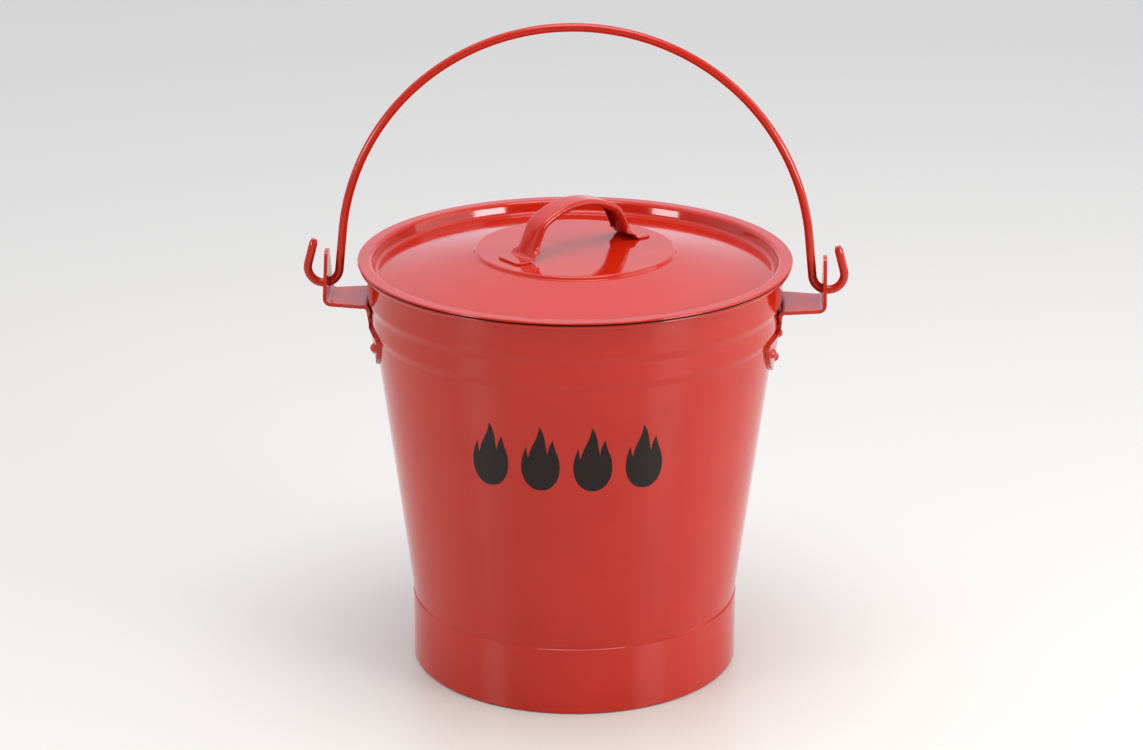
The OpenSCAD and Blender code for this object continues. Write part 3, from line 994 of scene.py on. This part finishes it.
    def build(self) -> Object:
        """Lofts the strap from foot to foot.

        Returns:
            The piece that stands for the lid's handle.
        """
        half = self.stations()
        whole = [Station(-s.x, s.z, -s.slope, s.curl, s.width) for s in half[:0:-1]] + half
        turn = math.radians(self.turn)
        points, rings = [], []
        for place in whole:
            ring = []
            for across, out in self.section(place.curl, place.width):
                px = place.x + out * math.sin(place.slope)
                pz = place.z + out * math.cos(place.slope)
                ring.append(len(points))
                points.append(((px * math.cos(turn) - across * math.sin(turn)) * MM,
                               (px * math.sin(turn) + across * math.cos(turn)) * MM,
                               (self.boss_z + pz) * MM))
            rings.append(ring)
        faces = []
        count = len(rings[0])
        for a, b in zip(rings, rings[1:]):
            faces += [(a[i], a[(i + 1) % count], b[(i + 1) % count], b[i]) for i in range(count)]
        for ring in (rings[0], rings[-1]):
            faces += [(ring[i], ring[i + 1], ring[count - 2 - i], ring[count - 1 - i])
                      for i in range(count // 2 - 1)]
        piece = piece_from("lid_handle_strap", mesh_from("lid_handle_strap", points, faces),
                           self.finishes.strap)
        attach(piece, Body.LID.value)
        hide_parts("lid_handle")
        return piece


@dataclass
class Lid:
    """The pressed lid under its handle."""

    finishes: Finishes

    def dress(self) -> None:
        """Gives the lid its finish."""
        dress_node("lid_pan", self.finishes.sheet)


class Seat(NamedTuple):
    """Where a round form sits: its place in millimetres, its facing and its share of full size."""

    place: Vector
    facing: Vector
    size: Vector


@dataclass
class RevolvedForms:
    """Low round forms of enamel and steel, set out on points by Geometry Nodes.

    The tree bends a flat grid round an axis, lifts it along a height curve, sets one copy on
    each point with its axis along the point's facing, and dents every copy a little. Sizes are
    in millimetres.
    """

    name: str
    inner_r: float
    outer_r: float
    height: float
    profile: tuple[tuple[float, float], ...]
    rows: int = 10
    segments: int = 36
    dent: float = 0.12
    dent_mm: float = 4.0
    seed: int = 7

    def inputs(self, finish: Material) -> Inputs:
        """Returns the tree's inputs. The grid has one row more than segments, for its seam."""
        return [("Inner radius", Kind.LENGTH, self.inner_r * MM),
                ("Outer radius", Kind.LENGTH, self.outer_r * MM),
                ("Height", Kind.LENGTH, self.height * MM), ("Rows", Kind.COUNT, self.rows),
                ("Segments", Kind.COUNT, self.segments + 1),
                ("Dent", Kind.LENGTH, self.dent * MM), ("Seed", Kind.LENGTH, float(self.seed)),
                ("Finish", Kind.MATERIAL, finish)]

    def form(self, tree: NodeTree, sockets: Any) -> Node:
        """Adds the nodes that make one form.

        Args:
            tree: The node tree.
            sockets: The outputs that hold the tree's inputs, by name.

        Returns:
            The node with the form's mesh.
        """
        grid = add_node(tree, "GeometryNodeMeshGrid", {
            "Size X": 1.0, "Size Y": 1.0, "Vertices X": sockets["Rows"],
            "Vertices Y": sockets["Segments"]})
        place = add_node(tree, "GeometryNodeInputPosition")
        flat = add_node(tree, "ShaderNodeSeparateXYZ", {0: place}).outputs
        reach = add_node(tree, "ShaderNodeMapRange", {
            "Value": flat["X"], "From Min": -0.5, "From Max": 0.5,
            "To Min": sockets["Inner radius"], "To Max": sockets["Outer radius"]})
        turn = add_node(tree, "ShaderNodeMapRange", {
            "Value": flat["Y"], "From Min": -0.5, "From Max": 0.5, "To Max": math.tau})
        share = add_node(tree, "ShaderNodeMath", {0: flat["X"], 1: 0.5}, operation="ADD")
        curve = add_node(tree, "ShaderNodeFloatCurve", {"Value": share})
        line = curve.mapping.curves[0]
        for point, (u, rise) in zip(list(line.points)[:2], (self.profile[0], self.profile[-1])):
            point.location = (u, rise)
        for u, rise in self.profile[1:-1]:
            line.points.new(u, rise)
        curve.mapping.update()
        ways = [add_node(tree, "ShaderNodeMath", {0: turn}, operation=kind)
                for kind in ("COSINE", "SINE")]
        across = [add_node(tree, "ShaderNodeMath", {0: way, 1: reach}, operation="MULTIPLY")
                  for way in ways]
        up = add_node(tree, "ShaderNodeMath", {0: curve, 1: sockets["Height"]},
                      operation="MULTIPLY")
        bent = add_node(tree, "GeometryNodeSetPosition", {
            "Geometry": grid, "Position": add_node(tree, "ShaderNodeCombineXYZ", {
                "X": across[0], "Y": across[1], "Z": up})})
        # The ends of the bent grid become one seam, and a middle becomes one point
        return add_node(tree, "GeometryNodeMergeByDistance", {
            "Geometry": bent, "Distance": 0.002 * MM})

    def tree(self, inputs: Inputs) -> NodeTree:
        """Makes the whole tree: form, copies, dents and finish.

        Args:
            inputs: The tree's inputs.

        Returns:
            The Geometry Nodes tree.
        """
        tree = new_tree(self.name + "_nodes", inputs)
        sockets = add_node(tree, "NodeGroupInput").outputs
        facing, size = (add_node(tree, "GeometryNodeInputNamedAttribute", {"Name": label},
                                 data_type="FLOAT_VECTOR") for label in ("facing", "size"))
        turned = add_node(tree, "FunctionNodeAlignRotationToVector", {"Vector": facing}, axis="Z")
        copies = add_node(tree, "GeometryNodeInstanceOnPoints", {
            "Points": sockets["Geometry"], "Instance": self.form(tree, sockets),
            "Rotation": turned, "Scale": size})
        real = add_node(tree, "GeometryNodeRealizeInstances", {0: copies})
        clouds = add_node(tree, "ShaderNodeTexNoise", {
            "Scale": per_mm(self.dent_mm), "W": sockets["Seed"], "Detail": 1.0},
            noise_dimensions="4D")
        depth = add_node(tree, "ShaderNodeMapRange", {
            "Value": clouds, "From Min": 0.35, "From Max": 0.65, "To Max": sockets["Dent"]})
        normal = add_node(tree, "GeometryNodeInputNormal")
        outwards = add_node(tree, "ShaderNodeVectorMath", {0: normal, 3: depth},
                            operation="SCALE")
        inwards = add_node(tree, "ShaderNodeVectorMath", {0: outwards, 3: -1.0},
                           operation="SCALE")
        dented = add_node(tree, "GeometryNodeSetPosition", {
            "Geometry": real, "Offset": inwards})
        dressed = add_node(tree, "GeometryNodeSetMaterial", {
            "Geometry": dented, "Material": sockets["Finish"]})
        add_node(tree, "NodeGroupOutput", {0: dressed})
        return tree

    def set_out(self, seats: Sequence[Seat], finish: Material) -> Object:
        """Makes the forms on their seats.

        Args:
            seats: Where each form sits.
            finish: The material.

        Returns:
            The finished piece.
        """
        mesh = bpy.data.meshes.new(self.name + "_seats")
        mesh.from_pydata([tuple(seat.place * MM) for seat in seats], [], [])
        for label in ("facing", "size"):
            layer = mesh.attributes.new(label, "FLOAT_VECTOR", "POINT")
            layer.data.foreach_set("vector", [c for seat in seats for c in getattr(seat, label)])
        inputs = self.inputs(finish)
        return grown(self.name, mesh, self.tree(inputs), inputs, finish)


@dataclass
class EarRivets:
    """Round-headed rivets of both ears, with their closed ends inside. Sizes in millimetres."""

    finishes: Finishes
    wall: WallCone = field(default_factory=WallCone)
    names: tuple[str, ...] = ("upper", "lower", "front", "back")
    turns: tuple[float, ...] = (0.0, 0.0, -14.0, 14.0)
    heights: tuple[float, ...] = (240.5, 223.0, 236.5, 236.5)
    # How far a head's flat lies out from the middle of the wall's sheet, and a closed end's in
    seat: float = 2.95
    inside: float = 0.45
    head_r: float = 4.1
    head_h: float = 2.98
    tail_r: float = 2.7
    tail_h: float = 1.42
    # Share of the reach from the middle, and share of the height there
    dome: tuple[tuple[float, float], ...] = (
        (0.0, 1.0), (0.3, 0.92), (0.55, 0.72), (0.74, 0.42), (0.84, 0.14), (1.0, 0.0))

    def seats(self) -> list[Seat]:
        """Places each head on its ear and each closed end inside the wall.

        Returns:
            A head's seat and its closed end's, for rivet after rivet.
        """
        lean = math.atan(self.wall.rise)
        head = Vector((1.0, 1.0, 1.0))
        tail = Vector((self.tail_r / self.head_r,) * 2 + (self.tail_h / self.head_h,))
        out = []
        for side in (0.0, 180.0):
            for turn, z in zip(self.turns, self.heights):
                round_ = math.radians(side + turn)
                way = Vector((math.cos(lean) * math.cos(round_),
                              math.cos(lean) * math.sin(round_), -math.sin(lean)))
                r = self.wall.radius(z) - self.wall.half_sheet
                middle = Vector((r * math.cos(round_), r * math.sin(round_), z))
                out.append(Seat(middle + way * self.seat, way, head))
                out.append(Seat(middle - way * self.inside, -way, tail))
        return out

    def build(self) -> Object:
        """Makes every rivet of both ears.

        Returns:
            The piece that stands for their nodes.
        """
        domes = RevolvedForms("ear_rivets", 0.0, self.head_r, self.head_h, self.dome)
        piece = domes.set_out(self.seats(), self.finishes.ear)
        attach(piece, Body.BUCKET.value)
        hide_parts(*(f"rivet_{side}_{name}" for side in ("left", "right")
                             for name in self.names))
        return piece


@dataclass
class SeamBead:
    """Enamel that has run into the seam above the foot band. Sizes in millimetres."""

    finishes: Finishes
    wall: WallCone = field(default_factory=WallCone)
    band_r: float = 115.0
    band_z: float = 48.0
    height: float = 0.8
    # How deep it sits in the wall, and how far it stays back from the band's edge
    sunk: float = 0.05
    back: float = 0.04
    # Share of the reach from the wall, and share of the height there
    fillet: tuple[tuple[float, float], ...] = (
        (0.0, 1.0), (0.3, 0.62), (0.65, 0.3), (0.9, 0.12), (1.0, 0.0))

    def build(self) -> Object:
        """Lays the bead round the wall on the band's upper edge.

        Returns:
            The bead as one piece.
        """
        bead = RevolvedForms(
            "foot_seam_bead", self.wall.radius(self.band_z) - self.sunk, self.band_r - self.back,
            self.height, self.fillet, rows=7, segments=288, dent=0.3, dent_mm=26.0)
        seat = Seat(Vector((0.0, 0.0, self.band_z)), Vector((0.0, 0.0, 1.0)),
                    Vector((1.0, 1.0, 1.0)))
        piece = bead.set_out([seat], self.finishes.sheet)
        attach(piece, Body.BUCKET.value)
        return piece


# The studio


@dataclass(frozen=True)
class SoftLamp:
    """One soft rectangular lamp that faces the middle of the object.

    Its azimuth runs from the front towards the object's right and its elevation from the level,
    both in degrees. Its distance and its width and height are in metres, its power in watts.
    """

    name: str
    azimuth: float
    elevation: float
    away: float
    size: tuple[float, float]
    power: float

    def hang(self, middle: Vector) -> None:
        """Hangs the lamp round the middle of the object.

        Args:
            middle: The point that it faces.
        """
        round_, up = math.radians(self.azimuth), math.radians(self.elevation)
        way = Vector((math.sin(round_) * math.cos(up), -math.cos(round_) * math.cos(up),
                      math.sin(up)))
        data = bpy.data.lights.new(self.name, "AREA")
        data.shape = "RECTANGLE"
        data.size, data.size_y = self.size
        data.energy = self.power
        lamp = placed(self.name, data)
        lamp.location = middle + self.away * way
        lamp.rotation_mode = "QUATERNION"
        lamp.rotation_quaternion = (-way).to_track_quat("-Z", "Y")


@dataclass
class Studio:
    """Floor, soft lamps, air and camera."""

    finishes: Finishes
    # The camera's place in millimetres and its turns in radians
    camera_back: float = 2008.8
    camera_height: float = 904.5
    object_turn: float = 0.0413
    yaw: float = 0.0012
    pitch: float = 0.3343
    roll: float = 0.0015
    focal_px: float = 3041.0
    sensor: float = 36.0
    floor_w: float = 14.0
    lit_height: float = 0.25
    # Strengths of the air, and how far in degrees its bright side is turned from the back
    air_front: float = 0.15
    air_back: float = 0.9
    air_above: float = 0.8
    air_low: float = 0.25
    air_turn: float = 25.0
    # Where the air turns from front to back, and where it brightens above and low down
    behind_span: tuple[float, float] = (-0.5, 0.8)
    above_span: tuple[float, float] = (0.25, 1.0)
    low_span: tuple[float, float] = (0.1, 0.36)
    front_tint: str = "fffaf4"
    back_tint: str = "eef3ff"
    lamps: tuple[SoftLamp, ...] = (
        SoftLamp("soft_box_right", 56.0, 11.0, 1.5, (0.52, 0.30), 9.0),
        SoftLamp("soft_box_left", -54.0, 11.0, 1.5, (0.44, 0.24), 5.0),
        SoftLamp("soft_box_side", 88.0, 20.0, 1.8, (1.5, 1.6), 13.5),
        SoftLamp("soft_box_top", 20.0, 80.0, 1.8, (1.2, 1.2), 20.0))

    def place_camera(self) -> None:
        """Stands the camera where the photograph was taken from."""
        turn = self.object_turn
        looks = Matrix(((1, 0, 0), (0, 0, -1), (0, 1, 0)))
        axes = (Matrix.Rotation(self.roll, 3, "Z") @ Matrix.Rotation(self.pitch, 3, "X")
                @ Matrix.Rotation(self.yaw, 3, "Y") @ looks @ Matrix.Rotation(-turn, 3, "Z"))
        right, down, ahead = axes[0], axes[1], axes[2]
        data = bpy.data.cameras.new("studio_camera")
        data.sensor_width = self.sensor
        data.sensor_fit = "HORIZONTAL"
        data.lens = self.focal_px / IMAGE_W * self.sensor
        data.clip_start, data.clip_end = 0.05, 50.0
        camera = placed("studio_camera", data)
        place = Vector((self.camera_back * math.sin(turn), -self.camera_back * math.cos(turn),
                        self.camera_height)) * MM
        columns = Matrix((right, -down, -ahead)).transposed()
        camera.matrix_world = Matrix.Translation(place) @ columns.to_4x4()
        bpy.context.scene.camera = camera

    def lay_floor(self) -> None:
        """Lays one large sheet of paper under the object."""
        half = self.floor_w / 2
        corners = [(-half, -half, 0.0), (half, -half, 0.0), (half, half, 0.0), (-half, half, 0.0)]
        mesh = bpy.data.meshes.new("paper_floor")
        mesh.from_pydata(corners, [], [(0, 1, 2, 3)])
        floor = piece_from("paper_floor", mesh, self.finishes.paper)

    def light(self) -> None:
        """Sets the air and hangs the lamps.

        The air is dim in front. It is bright above and behind, and brightest low down behind,
        like a lit white wall.
        """
        world = bpy.data.worlds.new("studio_air")
        world.use_nodes = True
        tree = world.node_tree
        tree.nodes.clear()
        way = add_node(tree, "ShaderNodeTexCoord").outputs["Generated"]
        parts = add_node(tree, "ShaderNodeSeparateXYZ", {0: way}).outputs
        turn = math.radians(self.air_turn)
        back = add_node(tree, "ShaderNodeVectorMath", {
            0: way, 1: (-math.sin(turn), math.cos(turn), 0.0)}, operation="DOT_PRODUCT")
        behind = add_node(tree, "ShaderNodeMapRange", {
            "Value": back.outputs["Value"], "From Min": self.behind_span[0],
            "From Max": self.behind_span[1]}, interpolation_type="SMOOTHSTEP")
        depth = add_node(tree, "ShaderNodeMapRange", {
            "Value": behind, "To Min": self.air_front, "To Max": self.air_back})
        height = add_node(tree, "ShaderNodeMapRange", {
            "Value": parts["Z"], "From Min": self.above_span[0],
            "From Max": self.above_span[1], "To Max": self.air_above})
        low = add_node(tree, "ShaderNodeMapRange", {
            "Value": parts["Z"], "From Min": self.low_span[0], "From Max": self.low_span[1],
            "To Min": self.air_low, "To Max": 0.0})
        wall = add_node(tree, "ShaderNodeMath", {0: low, 1: behind, 2: depth},
                        operation="MULTIPLY_ADD")
        strength = add_node(tree, "ShaderNodeMath", {0: wall, 1: height}, operation="ADD")
        tint = add_node(tree, "ShaderNodeMix", {
            "Factor": behind, "A": linear(self.front_tint), "B": linear(self.back_tint)},
            data_type="RGBA")
        sky = add_node(tree, "ShaderNodeBackground", {"Color": tint, "Strength": strength})
        add_node(tree, "ShaderNodeOutputWorld", {"Surface": sky})
        bpy.context.scene.world = world
        bpy.context.scene.view_settings.view_transform = "Standard"
        for lamp in self.lamps:
            lamp.hang(Vector((0.0, 0.0, self.lit_height)))

    def build(self) -> None:
        """Builds the whole studio."""
        self.place_camera()
        self.lay_floor()
        self.light()


def main() -> None:
    """Builds and dresses every sub-assembly in order."""
    finishes = Finishes()
    Studio(finishes).build()
    BucketSheet(finishes).dress()
    Lid(finishes).dress()
    for maker in (LidHandle(finishes), BailWire(finishes), EarRivets(finishes),
                  SeamBead(finishes), FrontMark(finishes)):
        piece = maker.build()
        LOG.info("built %s with %d faces", piece.name, len(piece.data.polygons))


if __name__ == "__main__":
    main()
